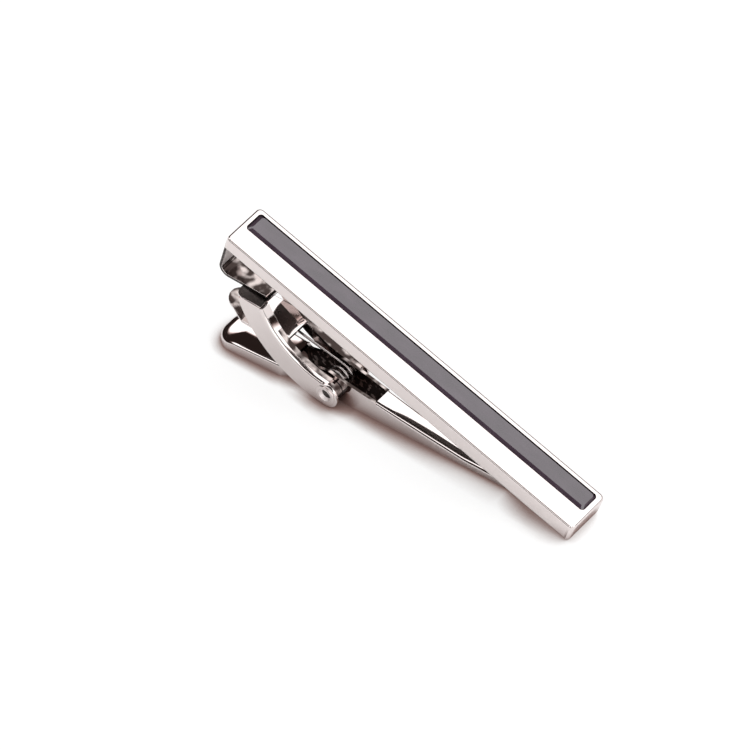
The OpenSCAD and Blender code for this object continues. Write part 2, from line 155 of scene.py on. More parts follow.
# The ambient occlusion paints the contact shadow into the card's colour and glow; for camera rays its hemisphere
# leans towards the far side.
shade = add_node(paper, "ShaderNodeAmbientOcclusion", {"Distance": breadth, "Normal": painted_shadow_axis},
                 samples=12).outputs["AO"]
seen_fade = add_node(paper, "ShaderNodeMapRange", {"Value": toward_low_end, **fade_seen}).outputs["Result"]
mirrored_fade = add_node(paper, "ShaderNodeMapRange", {"Value": toward_low_end, **fade_mirrored},
                         interpolation_type="SMOOTHSTEP").outputs["Result"]
fade = add_node(paper, "ShaderNodeMix", {"Factor": watched, "A": mirrored_fade, "B": seen_fade}).outputs["Result"]
openness = add_node(paper, "ShaderNodeMapRange", {"Value": shade, **shade_range}).outputs["Result"]
openness = add_node(paper, "ShaderNodeMath", {0: fade, 1: fade_gain, 2: openness},
                    operation="MULTIPLY_ADD").outputs[0]
ramp = add_node(paper, "ShaderNodeValToRGB", {"Fac": openness})
ramp.color_ramp.elements[0].color = contact_colour
ramp.color_ramp.elements[1].color = white
ramp.color_ramp.elements.new(halo_at).color = halo_colour
tone = ramp.outputs["Color"]
pale = add_node(paper, "ShaderNodeMapRange", {"Value": watched, **pale_range}).outputs["Result"]
face = add_node(paper, "ShaderNodeVectorMath", {0: tone, "Scale": pale}, operation="SCALE").outputs["Vector"]
matt = paper.nodes["Principled BSDF"]
paper.links.new(face, matt.inputs["Base Color"])
matt.inputs["Roughness"].default_value = 0.9
matt.inputs["Specular IOR Level"].default_value = 0.0
mirrored = add_node(paper, "ShaderNodeMath", {0: path.outputs["Is Glossy Ray"],
                                              1: path.outputs["Is Transmission Ray"]}, operation="MAXIMUM")
mirrored = add_node(paper, "ShaderNodeMath", {0: mirrored.outputs[0], 1: lift_mirrored},
                    operation="MULTIPLY").outputs[0]
lift = add_node(paper, "ShaderNodeMath", {0: watched, 1: lift_seen, 2: mirrored},
                operation="MULTIPLY_ADD").outputs[0]
brighter = add_node(paper, "ShaderNodeEmission", {"Color": tone, "Strength": lift})
both = add_node(paper, "ShaderNodeAddShader", {0: matt.outputs[0], 1: brighter.outputs[0]})
paper.links.new(both.outputs[0], paper.nodes["Material Output"].inputs["Surface"])
table.data.materials.append(card)
bpy.ops.object.select_all(action="DESELECT")


# The front bar: a solid brass bar, thicker at its low end, with a straight pocket milled for the stone.
# It is ground flat, its edges are just broken, most on the far side, and it is polished and plated a bright
# white. From here on the pieces are made in millimetres, the bar with its top's low end at the origin.
bar_length, bar_width = 58.0, 7.0
bar_low_thickness, bar_high_thickness = 3.3, 2.45
bar_tilt = math.radians(18.48)
bar_corner, bar_edge_near, bar_edge_far, edge_change = 0.75, 0.27, 0.46, 0.25
pocket_near, pocket_width, pocket_end, pocket_depth, pocket_corner, rim_edge = -0.45, 3.15, 0.8, 1.0, 0.5, 0.04

# The bench has x = 0 at the bar's low corner. A hair is the slack in a test of place, and an edge between faces
# more than this many degrees apart is sharp enough to be broken.
bench_to_clip, hair, sharp = 28.177, 0.01, 60


def take_up(piece):
    """Make a piece the only one selected, and the active one."""
    bpy.ops.object.select_all(action="DESELECT")
    piece.select_set(True)
    bpy.context.view_layer.objects.active = piece


def choose(kind, wanted):
    """In edit mode, select only the vertices, edges or faces whose middle and self the test accepts."""
    bpy.ops.mesh.select_mode(type=kind)
    bpy.ops.mesh.select_all(action="DESELECT")
    shape = bmesh.from_edit_mesh(bpy.context.object.data)
    for item in {"VERT": shape.verts, "EDGE": shape.edges, "FACE": shape.faces}[kind]:
        middle = item.co if kind == "VERT" else sum((v.co for v in item.verts), Vector()) / len(item.verts)
        if wanted(middle, item):
            item.select_set(True)
    bmesh.update_edit_mesh(bpy.context.object.data)


def steep(edge):
    """The angle between the two faces of an edge, in degrees."""
    return math.degrees(edge.calc_face_angle(0)) if len(edge.link_faces) == 2 else 0


def climb(edge):
    """How far an edge's ends differ in height."""
    return abs(edge.verts[0].co.z - edge.verts[1].co.z)


def polish(piece, angle=38):
    """Smooth shading that keeps the flats flat and lets the broken edges catch the light."""
    take_up(piece)
    bpy.ops.object.shade_smooth_by_angle(angle=math.radians(angle))
    piece.modifiers.new("even", "WEIGHTED_NORMAL").keep_sharp = True
    bpy.ops.object.modifier_apply(modifier="even")


def place(piece, name, body, node):
    """Carry a piece made in millimetres on the bench to its place in the clip, in metres."""
    piece.name = piece.data.name = name
    take_up(piece)
    piece.location.x += bench_to_clip
    bpy.ops.object.transform_apply(location=True, rotation=True, scale=True)
    piece.scale = (MM, MM, MM)
    bpy.ops.object.transform_apply(location=True, rotation=True, scale=True)
    bpy.ops.object.select_all(action="DESELECT")
    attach(piece, body)
    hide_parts(node)


def lay_on_bar(piece):
    """Turn a piece from the bar's own frame, where its top is at zero, to the bar's slope."""
    take_up(piece)
    piece.rotation_euler = (0, bar_tilt, 0)
    piece.location = (bar_low_thickness * math.sin(bar_tilt), 0, bar_low_thickness * math.cos(bar_tilt))
    bpy.ops.object.transform_apply(location=True, rotation=True, scale=True)


def block(low, high):
    """A plain block between two corners, ready to be shaped in edit mode."""
    size = [b - a for a, b in zip(low, high)]
    bpy.ops.mesh.primitive_cube_add(size=1, location=[(a + b) / 2 for a, b in zip(low, high)])
    piece = bpy.context.active_object
    piece.scale = size
    bpy.ops.object.transform_apply(location=True, rotation=True, scale=True)
    bpy.ops.object.mode_set(mode="EDIT")
    return piece


def combine(piece, others, operation="UNION", mend=False):
    """Weld overlapping solids into one, or cut them out of it; mend also closes the piece's own gaps."""
    for other in others:
        take_up(piece)
        weld = piece.modifiers.new("weld", "BOOLEAN")
        weld.operation, weld.solver, weld.object, weld.use_self = operation, "EXACT", other, mend
        bpy.ops.object.modifier_apply(modifier="weld")
        bpy.data.objects.remove(other)


bar = block((-bar_length, -bar_width / 2, -bar_low_thickness), (0, bar_width / 2, 0))
choose("VERT", lambda c, v: c.x < -bar_length / 2 and c.z < -1)
bpy.ops.transform.translate(value=(0, 0, bar_low_thickness - bar_high_thickness))
standing = 0.5
choose("EDGE", lambda c, e: climb(e) > standing)
bpy.ops.mesh.bevel(offset=bar_corner, segments=8, affect="EDGES")
choose("EDGE", lambda c, e: steep(e) > sharp and c.z > -hair and c.y > edge_change - bar_width / 2)
bpy.ops.mesh.bevel(offset=bar_edge_far, segments=4, affect="EDGES")
choose("EDGE", lambda c, e: steep(e) > sharp and
       (c.z < -1 or (c.z > -hair and c.y < edge_change - bar_width / 2)))
bpy.ops.mesh.bevel(offset=bar_edge_near, segments=4, affect="EDGES")
bpy.ops.object.mode_set(mode="OBJECT")
pocket = block((-bar_length + pocket_end, pocket_near, -pocket_depth),
               (-pocket_end, pocket_near + pocket_width, 0.5))
choose("EDGE", lambda c, e: climb(e) > standing)
bpy.ops.mesh.bevel(offset=pocket_corner, segments=6, affect="EDGES")
bpy.ops.object.mode_set(mode="OBJECT")
combine(bar, [pocket], "DIFFERENCE", mend=True)
bpy.ops.object.mode_set(mode="EDIT")
choose("EDGE", lambda c, e: steep(e) > sharp and c.z > -hair)
bpy.ops.mesh.bevel(offset=rim_edge, segments=2, affect="EDGES")
bpy.ops.object.mode_set(mode="OBJECT")
lay_on_bar(bar)

# One wear pattern for all the polished metal: long fine wiping marks and a faint haze.
marks_lean, marks_scale, haze_scale = 0.06, (260, 5200, 2600), 420.0
wear = bpy.data.node_groups.new("wiping_marks", "ShaderNodeTree")
wear.interface.new_socket("Fineness", in_out="INPUT", socket_type="NodeSocketFloat").default_value = 1.0
wear.interface.new_socket("Marks", in_out="OUTPUT", socket_type="NodeSocketFloat")
wear.interface.new_socket("Haze", in_out="OUTPUT", socket_type="NodeSocketFloat")
given = wear.nodes.new("NodeGroupInput")
where = add_node(wear, "ShaderNodeTexCoord").outputs["Object"]
stretch = add_node(wear, "ShaderNodeMapping", {"Vector": where, "Rotation": (0, -bar_tilt, marks_lean),
                                               "Scale": marks_scale}).outputs["Vector"]
fine = add_node(wear, "ShaderNodeVectorMath", {0: stretch, "Scale": given.outputs["Fineness"]},
                operation="SCALE").outputs["Vector"]
marks = add_node(wear, "ShaderNodeTexNoise", {"Vector": fine, "Scale": 1.0, "Detail": 3.0, "Roughness": 0.6})
haze = add_node(wear, "ShaderNodeTexNoise", {"Vector": where, "Scale": haze_scale, "Detail": 4.0,
                                             "Roughness": 0.55})
shown = wear.nodes.new("NodeGroupOutput")
wear.links.new(marks.outputs[0], shown.inputs["Marks"])
wear.links.new(haze.outputs[0], shown.inputs["Haze"])


def metal(name, light, dull, smooth, rough, depth, fineness=1.0):
    """A metal whose colour, roughness and relief vary with the haze and the wiping marks.

    It goes from the light colour and smooth roughness to the dull and rough ones; depth is in millimetres.
    """
    finish = bpy.data.materials.new(name)
    finish.use_nodes = True
    tree = finish.node_tree
    shader = tree.nodes["Principled BSDF"]
    shader.inputs["Metallic"].default_value = 1.0
    worn = add_node(tree, "ShaderNodeGroup", node_tree=wear)
    worn.inputs["Fineness"].default_value = fineness
    colour = add_node(tree, "ShaderNodeMix", {"Factor": worn.outputs["Haze"], "A": (*light, 1), "B": (*dull, 1)},
                      data_type="RGBA").outputs["Result"]
    tree.links.new(colour, shader.inputs["Base Color"])
    gloss = add_node(tree, "ShaderNodeMapRange", {"Value": worn.outputs["Haze"], "From Min": 0.3,
                                                  "From Max": 0.75, "To Min": smooth, "To Max": rough})
    tree.links.new(gloss.outputs["Result"], shader.inputs["Roughness"])
    relief = add_node(tree, "ShaderNodeBump", {"Height": worn.outputs["Marks"], "Strength": 1.0,
                                               "Distance": depth * MM})
    tree.links.new(relief.outputs["Normal"], shader.inputs["Normal"])
    return finish


plating = metal("polished_plate", light=(0.83, 0.765, 0.75), dull=(0.78, 0.71, 0.695), smooth=0.035, rough=0.09,
                depth=0.00004)


def patchy_metal(name, light, dull, scale, low, high):
    """The same metal in random patches, used as painted shade: light where the noise is under low, dull where it is
    over high.
    """
    finish = metal(name, light, dull, smooth=0.10, rough=0.22, depth=0.0003)
    tree = finish.node_tree
    here = add_node(tree, "ShaderNodeTexCoord").outputs["Object"]
    patches = add_node(tree, "ShaderNodeTexNoise", {"Vector": here, "Scale": scale, "Detail": 1.5,
                                                    "Roughness": 0.5})
    spread = add_node(tree, "ShaderNodeMapRange", {"Value": patches.outputs[0], "From Min": low,
                                                   "From Max": high}, interpolation_type="SMOOTHSTEP")
    for link in list(tree.links):
        if link.to_socket.name == "Factor":
            tree.links.new(spread.outputs["Result"], link.to_socket)
    return finish


# Patchy painted shade: the metal in random patches of light and near black, put where shade and dark reflections
# fall between the pieces.
patchy_shade = patchy_metal("patchy_painted_shade", light=(0.56, 0.49, 0.47), dull=(0.045, 0.033, 0.03), scale=620.0,
                   low=0.33, high=0.56)
# Speckled painted shade: mostly near black, with small light speckles as painted highlights.
speckled_shade = patchy_metal("speckled_painted_shade", light=(0.75, 0.68, 0.66), dull=(0.075, 0.058, 0.054), scale=1500.0,
                   low=0.33, high=0.45)
satin = metal("solder_sheen", light=(0.93, 0.88, 0.87), dull=(0.86, 0.80, 0.79), smooth=0.5, rough=0.68,
              depth=0.0006)
# The near-black metal below is painted shade, put on faces where shade falls under and between the pieces.
inside = metal("painted_shade_plate", light=(0.085, 0.074, 0.071), dull=(0.05, 0.043, 0.041), smooth=0.22, rough=0.36,
               depth=0.0002)


def plate_piece(piece, shaded=None, patch_shaded=None, soldered=None, speckle_shaded=None):
    """Plate each face brightly, or give it the finish of the last test that it passes.

    The finishes are painted shade, patchy painted shade, satin, and speckled painted shade. A test gets a face's
    centre and normal.
    """
    piece.data.materials.clear()
    for finish in (plating, inside, patchy_shade, satin, speckled_shade):
        piece.data.materials.append(finish)
    tests = (shaded, patch_shaded, soldered, speckle_shaded)
    for face in piece.data.polygons:
        passed = [i + 1 for i, test in enumerate(tests) if test and test(face.center, face.normal)]
        face.material_index = max(passed, default=0)


middle = sum((v.co for v in bar.data.vertices), Vector()) / len(bar.data.vertices)
# The underside and the pocket's walls get painted shade, where the bar shades itself.
plate_piece(bar, lambda c, n: n.z < -0.9 or (abs(n.z) < 0.9 and n.dot(middle - c) > 0.1))
polish(bar)
place(bar, "bar", "clip", "front_bar")

# The stone: a slip of dark grey onyx, ground with wide bevels on the near side and the ends and a narrow one
# on the far side. It is cemented into the pocket a hair's breadth clear of the walls.
stone_gap, cement, stone_corner, stone_edge = 0.03, 0.1, 0.32, 0.035
stone_low = (-bar_length + pocket_end + stone_gap, pocket_near + stone_gap, -pocket_depth + cement)
stone_high = (-pocket_end - stone_gap, pocket_near + pocket_width - stone_gap, 0.0)
bevel_near, bevel_far, bevel_high_end, bevel_low_end, bevel_drop = 0.6, 0.16, 0.55, 0.42, 0.3
stone = block(stone_low, (stone_high[0], stone_high[1], -bevel_drop))
choose("FACE", lambda c, f: f.normal.z > 0.99)
bpy.ops.mesh.extrude_region_move(TRANSFORM_OT_translate={"value": (0, 0, bevel_drop)})
pocket_middle = pocket_near + pocket_width / 2
choose("VERT", lambda c, v: c.z > -hair and c.y < pocket_middle)
bpy.ops.transform.translate(value=(0, bevel_near, 0))
choose("VERT", lambda c, v: c.z > -hair and c.y > pocket_middle)
bpy.ops.transform.translate(value=(0, -bevel_far, 0))
choose("VERT", lambda c, v: c.z > -hair and c.x < -bar_length / 2)
bpy.ops.transform.translate(value=(bevel_high_end, 0, 0))
choose("VERT", lambda c, v: c.z > -hair and c.x > -bar_length / 2)
bpy.ops.transform.translate(value=(-bevel_low_end, 0, 0))
choose("EDGE", lambda c, e: climb(e) > 0.1)
bpy.ops.mesh.bevel(offset=stone_corner, segments=6, affect="EDGES")
choose("EDGE", lambda c, e: steep(e) > 15 and c.z > -bevel_drop - hair and
       (e.link_faces[0].normal.z > 0.99 or e.link_faces[1].normal.z > 0.99 or abs(c.z + bevel_drop) < hair))
bpy.ops.mesh.bevel(offset=stone_edge, segments=2, affect="EDGES")
bpy.ops.object.mode_set(mode="OBJECT")
lay_on_bar(stone)
onyx = bpy.data.materials.new("dark_stone")
onyx.use_nodes = True
rock = onyx.node_tree
mineral = rock.nodes["Principled BSDF"]
where = add_node(rock, "ShaderNodeTexCoord").outputs["Object"]
cloud = add_node(rock, "ShaderNodeTexNoise", {"Vector": where, "Scale": 260.0, "Detail": 5.0, "Roughness": 0.6})
stretch = add_node(rock, "ShaderNodeMapping", {"Vector": where, "Rotation": (0, -bar_tilt, 0),
                                               "Scale": (120, 900, 900)}).outputs["Vector"]
band = add_node(rock, "ShaderNodeTexNoise", {"Vector": stretch, "Scale": 1.0, "Detail": 2.0})
blend = add_node(rock, "ShaderNodeMath", {0: cloud.outputs[0], 1: band.outputs[0]}, operation="MULTIPLY")
depth = add_node(rock, "ShaderNodeMapRange", {"Value": blend.outputs[0], "From Min": 0.15, "From Max": 0.38})
colour = add_node(rock, "ShaderNodeMix", {"Factor": depth.outputs["Result"], "A": (0.046, 0.030, 0.043, 1),
                                          "B": (0.066, 0.045, 0.062, 1)}, data_type="RGBA")
rock.links.new(colour.outputs["Result"], mineral.inputs["Base Color"])
gloss = add_node(rock, "ShaderNodeMapRange", {"Value": cloud.outputs[0], "From Min": 0.3, "From Max": 0.7,
                                              "To Min": 0.10, "To Max": 0.17})
rock.links.new(gloss.outputs["Result"], mineral.inputs["Roughness"])
relief = add_node(rock, "ShaderNodeBump", {"Height": cloud.outputs[0], "Strength": 0.4, "Distance": 0.0006 * MM})
rock.links.new(relief.outputs["Normal"], mineral.inputs["Normal"])
mineral.inputs["IOR"].default_value = 1.95
stone.data.materials.append(onyx)
polish(stone, angle=50)
place(stone, "stone", "clip", "stone_inlay")

# The cement: a thin film of pale jeweller's epoxy under the stone, seen only as a line in the gap.
resin = bpy.data.materials.new("cement")
resin.use_nodes = True
film = resin.node_tree
epoxy = film.nodes["Principled BSDF"]
where = add_node(film, "ShaderNodeTexCoord").outputs["Object"]
grains = add_node(film, "ShaderNodeTexNoise", {"Vector": where, "Scale": 3000.0, "Detail": 3.0})
colour = add_node(film, "ShaderNodeMix", {"Factor": grains.outputs[0], "A": (0.55, 0.48, 0.33, 1),
                                          "B": (0.42, 0.36, 0.25, 1)}, data_type="RGBA")
film.links.new(colour.outputs["Result"], epoxy.inputs["Base Color"])
relief = add_node(film, "ShaderNodeBump", {"Height": grains.outputs[0], "Strength": 0.5, "Distance": 0.01 * MM})
film.links.new(relief.outputs["Normal"], epoxy.inputs["Normal"])
epoxy.inputs["Roughness"].default_value = 0.6
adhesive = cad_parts["inlay_adhesive"]
adhesive.data.materials.clear()
adhesive.data.materials.append(resin)

# The bracket: a narrow strip folded into a C, soldered to the bar's underside and to the top of the clasp.
# Its edges are tumbled round. Its inner faces carry patchy painted shade, and keep a sheen of solder higher up.
pivot = Vector((-38.7, 0, 1.95))
clasp_top = 11.7
strip_width, strip_thickness, strip_bend, strip_edge = 3.4, 0.45, 1.0, 0.1
strip_lean, underside = math.radians(15.3), math.radians(19.32)
dark_below, solder_above = 1.2, 1.6
low_bend = Vector((pivot.x - 16.75, 0, clasp_top + strip_bend + strip_thickness))
high_bend = Vector((-54.26, 0, 17.49))
foot_end = pivot.x - 10.6
top_length = 3.6


def strip_section(at, size_across, size_up, corner):
    """The cut end of a strip of metal with softened corners, from which the strip is drawn out."""
    bpy.ops.mesh.primitive_plane_add(size=1, location=at, rotation=(0, math.pi / 2, 0))
    piece = bpy.context.active_object
    piece.scale = (size_up, size_across, 1)
    bpy.ops.object.transform_apply(location=True, rotation=True, scale=True)
    bpy.ops.object.mode_set(mode="EDIT")
    bpy.ops.mesh.select_all(action="SELECT")
    bpy.ops.mesh.bevel(offset=corner, segments=3, affect="VERTICES")
    bpy.ops.mesh.select_all(action="SELECT")
    return piece


bracket = strip_section((foot_end, 0, clasp_top + strip_thickness / 2), strip_width, strip_thickness,
                        strip_edge)
bpy.ops.mesh.extrude_region_move(TRANSFORM_OT_translate={"value": (low_bend.x - foot_end, 0, 0)})
bpy.ops.mesh.spin(steps=12, angle=-math.pi / 2 - strip_lean, center=low_bend, axis=(0, 1, 0))
bpy.ops.mesh.extrude_region_move(TRANSFORM_OT_translate={"value": tuple(high_bend - low_bend)})
bpy.ops.mesh.spin(steps=12, angle=-math.pi / 2 + strip_lean - underside, center=high_bend, axis=(0, 1, 0))
bpy.ops.mesh.extrude_region_move(TRANSFORM_OT_translate={
    "value": (top_length * math.cos(underside), 0, -top_length * math.sin(underside))})
bpy.ops.mesh.select_all(action="SELECT")
bpy.ops.mesh.remove_doubles(threshold=0.001)
bpy.ops.mesh.normals_make_consistent(inside=False)
bpy.ops.object.mode_set(mode="OBJECT")
inner_side = (low_bend + high_bend) / 2 + Vector((2, 0, 0))


def on_bracket_inside(c, n):
    """Whether a face looks into the C."""
    return abs(n.y) < 0.3 and n.dot(inner_side - c) > 0


# Painted shade on the strip's sides below the top bend, where the bar and the clasp shade them.
plate_piece(bracket, shaded=lambda c, n: abs(n.y) > 0.8 and c.z < high_bend.z - dark_below,
            patch_shaded=on_bracket_inside,
            soldered=lambda c, n: on_bracket_inside(c, n) and c.z > clasp_top + solder_above)
polish(bracket)
place(bracket, "bracket", "clip", "riser_bracket")

# The clasp: one blank of sheet steel, folded down its two sides into a pair of curved plates, with their
# inner edges turned in as lips, an eye at the low end of each for the rivet, and a finger tab between them.
sheet = 0.4
clasp_half, lip_reach, lip_root = 3.4, 1.6, 0.4
band_half, band_bow, band_lean, band_turn = 1.86, 13.75, math.radians(4.6), math.radians(75)
eye_radius, collar_radius, collar_end, rivet_hole = 1.9, 1.45, 1.70, 1.12
fold, inner_fold, cut_edge = 0.38, 0.1, 0.06
drawn_half = 0.1
bow_centre = pivot + band_bow * Vector((math.sin(band_lean), 0, math.cos(band_lean)))
bow_inside, bow_outside = band_bow - band_half, band_bow + band_half


def pin(radius, y0, y1, edge=0.0):
    """A round pin or disc across the clip at the pivot, with softened rims."""
    bpy.ops.mesh.primitive_cylinder_add(vertices=64, radius=radius, depth=y1 - y0,
                                        location=(pivot.x, (y0 + y1) / 2, pivot.z), rotation=(math.pi / 2, 0, 0))
    piece = bpy.context.active_object
    bpy.ops.object.transform_apply(location=True, rotation=True, scale=True)
    bpy.ops.object.mode_set(mode="EDIT")
    if edge:
        choose("EDGE", lambda c, e: steep(e) > sharp)
        bpy.ops.mesh.bevel(offset=edge, segments=3, affect="EDGES")
    bpy.ops.object.mode_set(mode="OBJECT")
    return piece


# Its side plate: an L-shaped section drawn at the eye and bent along the bow, up past the web.
side = block((pivot.x - drawn_half, -clasp_half, bow_centre.z - bow_outside),
             (pivot.x + drawn_half, -clasp_half + sheet, bow_centre.z - bow_inside))
lip_under = bow_centre.z - bow_inside - sheet
choose("FACE", lambda c, f: f.normal.x < 0.99)
bpy.ops.mesh.delete(type="FACE")
bpy.ops.mesh.select_all(action="SELECT")
bpy.ops.mesh.bisect(plane_co=(0, 0, lip_under), plane_no=(0, 0, 1))
choose("EDGE", lambda c, e: abs(c.y + clasp_half - sheet) < hair and c.z > lip_under)
bpy.ops.mesh.extrude_region_move(TRANSFORM_OT_translate={"value": (0, lip_root, 0)})
bpy.ops.mesh.extrude_region_move(TRANSFORM_OT_translate={"value": (0, lip_reach - sheet - lip_root, 0)})
bpy.ops.mesh.select_all(action="SELECT")
bpy.ops.transform.translate(value=(bow_centre.x - pivot.x - drawn_half, 0, 0))
choose("VERT", lambda c, v: c.y < -clasp_half + hair and c.z > bow_centre.z - bow_inside - hair)
bpy.ops.mesh.bevel(offset=fold, segments=8, affect="VERTICES")
choose("VERT", lambda c, v: abs(c.y + clasp_half - sheet) < hair and abs(c.z - lip_under) < hair)
bpy.ops.mesh.bevel(offset=inner_fold, segments=3, affect="VERTICES")
choose("VERT", lambda c, v: c.z < bow_centre.z - bow_outside + hair or c.y > -clasp_half + lip_reach - hair)
bpy.ops.mesh.bevel(offset=cut_edge, segments=2, affect="VERTICES")
bpy.ops.mesh.select_all(action="SELECT")
bpy.ops.transform.rotate(value=-band_lean, orient_axis="Y", center_override=bow_centre)
bpy.ops.mesh.spin(steps=36, angle=-band_turn, center=bow_centre, axis=(0, 1, 0))
bpy.ops.mesh.select_all(action="SELECT")
bpy.ops.mesh.remove_doubles(threshold=0.001)
plate_end = clasp_top - 0.36
bpy.ops.mesh.bisect(plane_co=(0, 0, plate_end), plane_no=(0, 0, 1), use_fill=True, clear_outer=True)
bpy.ops.mesh.select_all(action="SELECT")
bpy.ops.mesh.normals_make_consistent(inside=False)
bpy.ops.object.mode_set(mode="OBJECT")

# The eye that the rivet holds, and the short collar behind it that keeps the plates off the jaw's ears.
combine(side, [pin(eye_radius, -clasp_half, -clasp_half + sheet, edge=cut_edge),
               pin(collar_radius, -clasp_half + sheet / 2, -collar_end)])
take_up(side)
pair = side.modifiers.new("pair", "MIRROR")
pair.use_axis, pair.use_mirror_merge = (False, True, False), False
bpy.ops.object.modifier_apply(modifier="pair")

# The web across the top, whose two long edges are the folds, and the finger tab, curled up at its tip.
web_corner, web_tip_lean, web_inset = 1.2, math.radians(5), 0.003
web_half = clasp_half - web_inset
web_middle = bow_centre.x - (bow_inside + bow_outside) / 2
rise = bow_centre.z - clasp_top
web_low_x = bow_centre.x - math.sqrt(bow_outside ** 2 - rise ** 2) - sheet
web_high_x = bow_centre.x - math.sqrt(bow_inside ** 2 - rise ** 2) - sheet / 2
web = block((web_low_x, -web_half, clasp_top - sheet), (web_high_x, web_half, clasp_top))
choose("EDGE", lambda c, e: abs(c.z - clasp_top + sheet / 2) < hair and c.x < web_middle)
bpy.ops.mesh.bevel(offset=web_corner, segments=8, affect="EDGES")
choose("EDGE", lambda c, e: c.z > clasp_top - hair and abs(c.y) > clasp_half - hair)
bpy.ops.mesh.bevel(offset=fold, segments=8, affect="EDGES")
choose("EDGE", lambda c, e: steep(e) > sharp and c.z > clasp_top - hair and abs(c.y) < clasp_half - 0.5)
bpy.ops.mesh.bevel(offset=cut_edge, segments=2, affect="EDGES")
choose("VERT", lambda c, v: c.z > clasp_top - sheet / 2)
bpy.ops.transform.rotate(value=-web_tip_lean, orient_axis="Y",
                         center_override=(web_middle, 0, clasp_top - sheet / 2))
bpy.ops.object.mode_set(mode="OBJECT")

tab_top, tab_half, tab_curl, tab_edge = 6.75, 3.05, 16.0, 0.1
tab_turn, tab_tip, tab_tip_radius = pivot.x - 13.8, pivot.x - 17.8, 1.85
tab_step, tab_narrowing = 0.7, 0.36
tip_angles = (8, 20, 32, 44, 56, 67, 77, 86)
rise = bow_centre.z - tab_top
tab_root = bow_centre.x - math.sqrt(bow_inside ** 2 - rise ** 2) - sheet / 2
tab = block((tab_turn, -tab_half, tab_top - sheet), (tab_root, tab_half, tab_top))
choose("FACE", lambda c, f: f.normal.x < -0.99)
x, half, lift = tab_turn, tab_half, 0.0
stops = [(tab_turn - tab_step * i, tab_half - tab_narrowing * i) for i in (1, 2, 3)]
stops += [(tab_tip + tab_tip_radius * (1 - math.sin(math.radians(a))), tab_tip_radius * math.cos(math.radians(a)))
          for a in tip_angles]
for x_next, half_next in stops:
    lift_next = tab_curl - math.sqrt(tab_curl ** 2 - (x_next - tab_turn) ** 2)
    bpy.ops.mesh.extrude_region_move(TRANSFORM_OT_translate={"value": (x_next - x, 0, lift_next - lift)})
    bpy.ops.transform.resize(value=(1, half_next / half, 1), center_override=(x_next, 0, tab_top))
    x, half, lift = x_next, half_next, lift_next
choose("EDGE", lambda c, e: steep(e) > sharp and c.x < tab_turn + 6 and climb(e) < 0.3)
bpy.ops.mesh.bevel(offset=tab_edge, segments=3, affect="EDGES")
bpy.ops.object.mode_set(mode="OBJECT")
for part in (side, web):
    take_up(part)
    bpy.ops.object.mode_set(mode="EDIT")
    bpy.ops.mesh.select_all(action="SELECT")
    bpy.ops.mesh.dissolve_degenerate(threshold=0.001)
    bpy.ops.mesh.remove_doubles(threshold=0.001)
    bpy.ops.object.mode_set(mode="OBJECT")
combine(side, [web, tab])
combine(side, [pin(rivet_hole, -clasp_half - 1, -clasp_half + sheet)], "DIFFERENCE")

plate_in = clasp_half - sheet
dark_above, patchy_shade_below, lip_patchy_shade_below = 8.3, 5.6, 8


def on_plate_inside(c, n):
    """Whether a face is on the inner side of either side plate, clear of the eye."""
    return abs(c.y) < plate_in + 0.02 and abs(n.y) > 0.9 and n.y * c.y < 0 and c.x < pivot.x - 0.5


def on_shaded_lip(c, n):
    """Whether a face is on the inner side of a lip, apart from the bright strip beside the near fold."""
    to_bow_centre = Vector((bow_centre.x, c.y, bow_centre.z)) - c
    return (1.75 < abs(c.y) < plate_in and (c.y > 0 or c.y > -plate_in + 0.3) and
            n.dot(to_bow_centre) > 0.9 and c.z < lip_patchy_shade_below)


def shaded_on_clasp(c, n):
    """Painted shade: high up between the plates, under the tab and on the collars; a painted dark reflection on top
    of the web.
    """
    return ((on_plate_inside(c, n) and c.z > dark_above) or
            (n.z < -0.9 and tab_top - sheet - 0.02 < c.z < tab_top + 1) or
            (n.z > 0.9 and c.z > clasp_top - 0.1) or
            (collar_end - hair < abs(c.y) < plate_in and
             math.hypot(c.x - pivot.x, c.z - pivot.z) < collar_radius + 0.05))


def patch_shaded_on_clasp(c, n):
    """Patchy painted shade: on top of the tab's tip, low between the plates and on the lips."""
    return ((n.z > 0.9 and tab_top - 0.1 < c.z < tab_top + 1 and c.x < tab_turn + 1) or
            (on_plate_inside(c, n) and c.z < patchy_shade_below) or on_shaded_lip(c, n))


plate_piece(side, shaded_on_clasp, patch_shaded_on_clasp)
polish(side)
place(side, "clasp", "clip", "clasp_arm")

# The jaw: a second blank, drawn down into a shallow tray at the tail for the thumb and a long narrow beak
# that grips the tie. Between them two ears stand up for the rivet, with an open window for the spring.
jaw_sheet, jaw_hole = 0.4, 0.65
tail_end, heel, ear_start, ear_end = pivot.x - 18.7, pivot.x - 7.6, pivot.x - 6.0, pivot.x + 2.1
window_end, beak_flat, tip = pivot.x + 6.7, pivot.x + 20.7, -4.6
tail_half, tail_corner, tip_half = 3.3, 2.7, 0.6
past_heel, past_ear, past_window, past_bend = 0.2, 0.4, 0.05, 1
tail_rim, beak_rim = 0.32, 0.45
slope_drop, slope_length, slope_width, slope_power = 0.78, 3.4, 2.1, 2.4
tray_depth, tray_run, tray_power = 0.55, 4, 1.5
crown_drops, crown_runs, crown_powers = (0.11, 0.07), (5, 10), (2, 1.2)
half_at = [(tail_end + tail_corner, tail_half), (heel, 2.8), (ear_start, 1.62), (ear_end, 1.62), (tip, tip_half)]
height_at = [(tail_end, 1.5), (heel, 1.9), (ear_start, 2.9), (pivot.x - 0.7, 4.4), (ear_end, 3.9),
             (window_end, 3.15), (beak_flat, 1.35), (tip - 3, 1.35), (tip, 1.56)]


def along(line, x):
    """The height of a broken line at x."""
    for (x0, a), (x1, b) in zip(line, line[1:]):
        if x <= x1:
            return a + (b - a) * max(0.0, (x - x0) / (x1 - x0))
    return line[-1][1]


